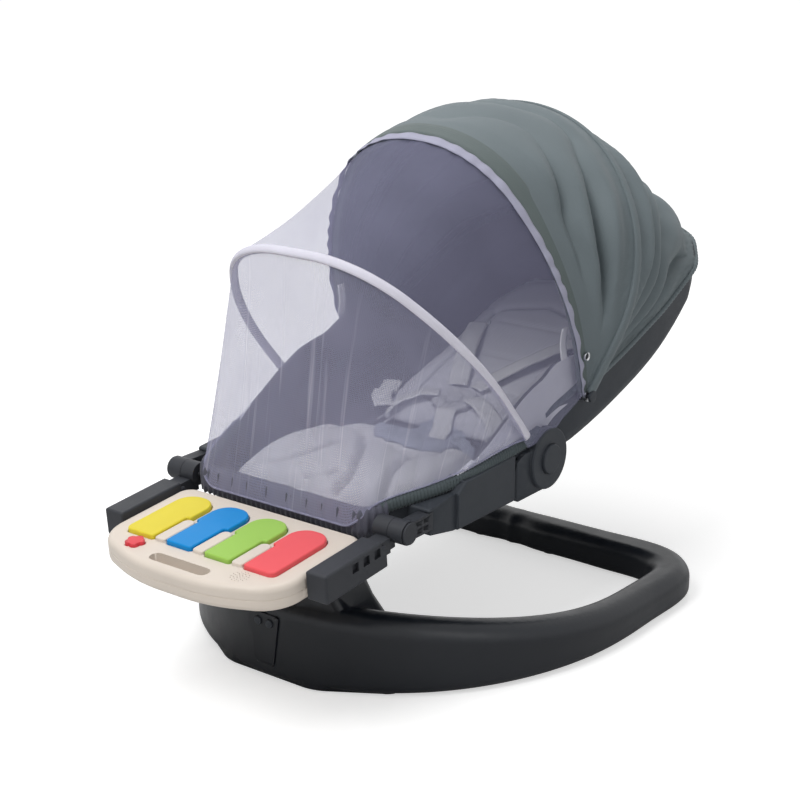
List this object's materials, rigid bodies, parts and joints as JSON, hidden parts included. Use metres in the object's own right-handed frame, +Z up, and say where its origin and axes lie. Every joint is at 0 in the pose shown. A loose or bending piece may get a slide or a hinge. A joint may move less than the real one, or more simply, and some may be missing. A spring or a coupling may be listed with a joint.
{
  "type": "bouncer seat",
  "caption": "Baby bouncer seat on an oval floor ring: rocking seat, reclining back, folding canopy with insect net, harness, and a flip-up piano tray on telescoping arms.",
  "frame": {"origin": "on the floor, at the middle of the outline seen from above", "axes": "+Z up, foot end and tray towards -Y, head end towards +Y, X across"},
  "size_m": [0.5432, 0.8422, 0.5818],
  "materials": {
    "base_black": "satin",
    "rubber": "matt",
    "steel": "plain",
    "inner_plastic": "matt",
    "copper": "wound wire",
    "circuit_board": "matt",
    "magnet": "plain",
    "bracket_metal": "satin",
    "shell_grey": "satin",
    "arm_grey": "satin",
    "pad_mesh": "mesh",
    "insert_grey": "quilted",
    "webbing": "woven",
    "buckle_plastic": "satin",
    "canopy_cloth": "plain weave",
    "net_white": "sheer net",
    "stud_metal": "polished",
    "tray_cream": "gloss",
    "key_yellow": "gloss",
    "key_blue": "gloss",
    "key_green": "gloss",
    "key_red": "gloss",
    "button_red": "gloss"
  },
  "bodies": {
    "base": {"base_shell": "base_black", "base_bottom_cover": "base_black", "base_feet": "rubber", "base_screws": "steel", "battery_box": "base_black", "battery_door": "base_black", "base_speaker": "inner_plastic", "drive_chassis": "inner_plastic", "drive_coil": "copper", "control_board": "circuit_board", "pivot_shaft": "steel", "torsion_springs": "steel", "control_panel": "base_black"},
    "panel_button_power": {"panel_button_power": "shell_grey"},
    "panel_button_sound": {"panel_button_sound": "shell_grey"},
    "seat": {"seat_shell": "shell_grey", "seat_bracket": "bracket_metal", "pivot_bushes": "inner_plastic", "drive_magnet": "magnet", "bracket_screws": "steel", "seat_side_covers": "shell_grey", "hinge_housings": "shell_grey", "tray_plugs": "arm_grey", "tray_hinge_pins": "arm_grey", "seat_lining": "pad_mesh", "seat_insert": "insert_grey"},
    "recline_button_left": {"recline_button_left": "shell_grey"},
    "recline_button_right": {"recline_button_right": "shell_grey"},
    "back": {"back_shell": "shell_grey", "recline_pins": "steel", "detent_discs": "steel", "back_lining": "pad_mesh", "back_insert": "insert_grey", "harness_straps": "webbing", "harness_buckle": "buckle_plastic", "canopy_pivots": "shell_grey", "canopy_rear_panel": "canopy_cloth"},
    "buckle_button": {"buckle_button": "buckle_plastic"},
    "canopy_rear_hoop": {"canopy_rear_hoop": "steel", "canopy_front_panel": "canopy_cloth"},
    "canopy_front_hoop": {"canopy_front_hoop": "steel", "net_hood": "net_white", "press_studs": "stud_metal"},
    "net_bow": {"net_bow": "steel", "net_skirt": "net_white"},
    "tray_arms": {"tray_bars": "arm_grey"},
    "piano_tray": {"tray_sleeve_left": "arm_grey", "tray_sleeve_right": "arm_grey", "tray_upper_shell": "tray_cream", "tray_lower_shell": "tray_cream", "tray_board": "circuit_board", "tray_speaker": "inner_plastic", "tray_screws": "steel", "key_contact_mat": "rubber"},
    "key_yellow": {"key_yellow": "key_yellow"},
    "key_blue": {"key_blue": "key_blue"},
    "key_green": {"key_green": "key_green"},
    "key_red": {"key_red": "key_red"},
    "tray_button": {"tray_button": "button_red"}
  },
  "joints": [
    {"name": "seat_rock", "type": "hinge", "parent": "base", "child": "seat", "pos_m": [0, -0.20987, 0.138], "axis": [1, 0, 0], "range_deg": [-5, 5], "stiffness_Nm_per_rad": 90, "springref_deg": 5.61},
    {"name": "recline", "type": "hinge", "parent": "seat", "child": "back", "pos_m": [0, 0.02113, 0.211], "axis": [1, 0, 0], "range_deg": [0, 22]},
    {"name": "canopy_fold", "type": "hinge", "parent": "back", "child": "canopy_rear_hoop", "pos_m": [0, 0.09413, 0.268], "axis": [-1, 0, 0], "range_deg": [0, 36], "deforming": ["canopy_rear_panel"]},
    {"name": "canopy_front", "type": "hinge", "parent": "canopy_rear_hoop", "child": "canopy_front_hoop", "pos_m": [0, 0.09413, 0.268], "axis": [-1, 0, 0], "range_deg": [0, 29], "deforming": ["canopy_front_panel"]},
    {"name": "net_bow_turn", "type": "hinge", "parent": "canopy_front_hoop", "child": "net_bow", "pos_m": [0, 0.02113, 0.211], "axis": [1, 0, 0], "range_deg": [-22, 0], "deforming": ["net_hood"]},
    {"name": "tray_flip", "type": "hinge", "parent": "seat", "child": "tray_arms", "pos_m": [0, -0.23387, 0.2], "axis": [-1, 0, 0], "range_deg": [0, 75], "deforming": ["net_skirt"]},
    {"name": "tray_slide", "type": "slide", "parent": "tray_arms", "child": "piano_tray", "axis": [0, -0.9962, -0.0872], "range_m": [0, 0.036]},
    {"name": "key_press_yellow", "type": "hinge", "parent": "piano_tray", "child": "key_yellow", "pos_m": [0, -0.278, 0.18811], "axis": [1, 0, 0], "range_deg": [0, 2.5], "stiffness_Nm_per_rad": 1.2, "springref_deg": -5.73},
    {"name": "key_press_blue", "type": "hinge", "parent": "piano_tray", "child": "key_blue", "pos_m": [0, -0.278, 0.18811], "axis": [1, 0, 0], "range_deg": [0, 2.5], "stiffness_Nm_per_rad": 1.2, "springref_deg": -5.73},
    {"name": "key_press_green", "type": "hinge", "parent": "piano_tray", "child": "key_green", "pos_m": [0, -0.278, 0.18811], "axis": [1, 0, 0], "range_deg": [0, 2.5], "stiffness_Nm_per_rad": 1.2, "springref_deg": -5.73},
    {"name": "key_press_red", "type": "hinge", "parent": "piano_tray", "child": "key_red", "pos_m": [0, -0.278, 0.18811], "axis": [1, 0, 0], "range_deg": [0, 2.5], "stiffness_Nm_per_rad": 1.2, "springref_deg": -5.73},
    {"name": "tray_button_press", "type": "slide", "parent": "piano_tray", "child": "tray_button", "axis": [0, 0.0872, -0.9962], "range_m": [0, 0.002], "stiffness_N_per_m": 300, "springref_m": -0.003},
    {"name": "recline_button_left_press", "type": "slide", "parent": "seat", "child": "recline_button_left", "axis": [1, 0, 0], "range_m": [0, 0.0028], "stiffness_N_per_m": 400, "springref_m": -0.004},
    {"name": "recline_button_right_press", "type": "slide", "parent": "seat", "child": "recline_button_right", "axis": [-1, 0, 0], "range_m": [0, 0.0028], "stiffness_N_per_m": 400, "springref_m": -0.004},
    {"name": "panel_button_power_press", "type": "slide", "parent": "base", "child": "panel_button_power", "axis": [0, 1, 0], "range_m": [0, 0.0015], "stiffness_N_per_m": 300, "springref_m": -0.003},
    {"name": "panel_button_sound_press", "type": "slide", "parent": "base", "child": "panel_button_sound", "axis": [0, 1, 0], "range_m": [0, 0.0015], "stiffness_N_per_m": 300, "springref_m": -0.003},
    {"name": "buckle_button_press", "type": "slide", "parent": "back", "child": "buckle_button", "axis": [0, 0.3162, -0.9487], "range_m": [0, 0.0025], "stiffness_N_per_m": 300, "springref_m": -0.003}
  ],
  "couplings": [
    {"joint": "canopy_front", "follows": "canopy_fold", "ratio": 0.8},
    {"joint": "net_bow_turn", "follows": "recline", "ratio": -1}
  ]
}
